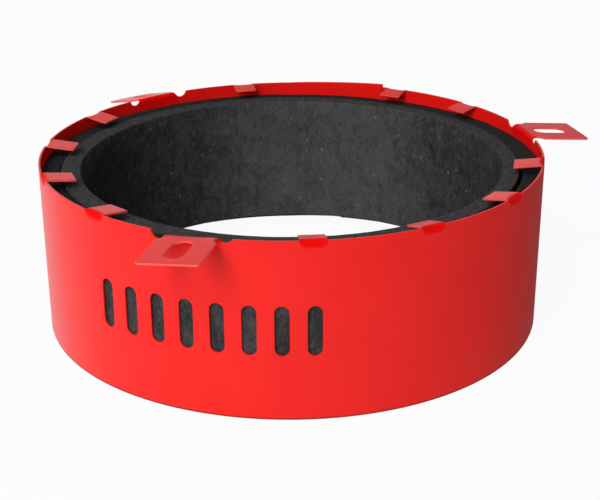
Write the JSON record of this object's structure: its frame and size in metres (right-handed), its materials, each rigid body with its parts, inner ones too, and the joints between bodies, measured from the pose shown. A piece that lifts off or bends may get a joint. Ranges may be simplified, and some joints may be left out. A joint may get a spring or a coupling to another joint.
{
  "type": "pipe fire collar",
  "caption": "Red painted steel ring with outward fixing lugs and inward retaining tabs, lined with intumescent strip that closes off a plastic pipe in a fire.",
  "frame": {"origin": "where the pipe's axis crosses the plane of the plain rim that the collar stands on", "axes": "+Z along the pipe's axis, from the plain rim up to the lug rim; +X to the right in the picture"},
  "size_m": [0.2153, 0.2167, 0.0667],
  "materials": {
    "red_paint": "semi-gloss powder coat",
    "intumescent_strip": "matte, finely speckled"
  },
  "bodies": {
    "root": {"steel_band": "red_paint", "inner_wrap": "intumescent_strip", "outer_wrap": "intumescent_strip"}
  },
  "joints": []
}
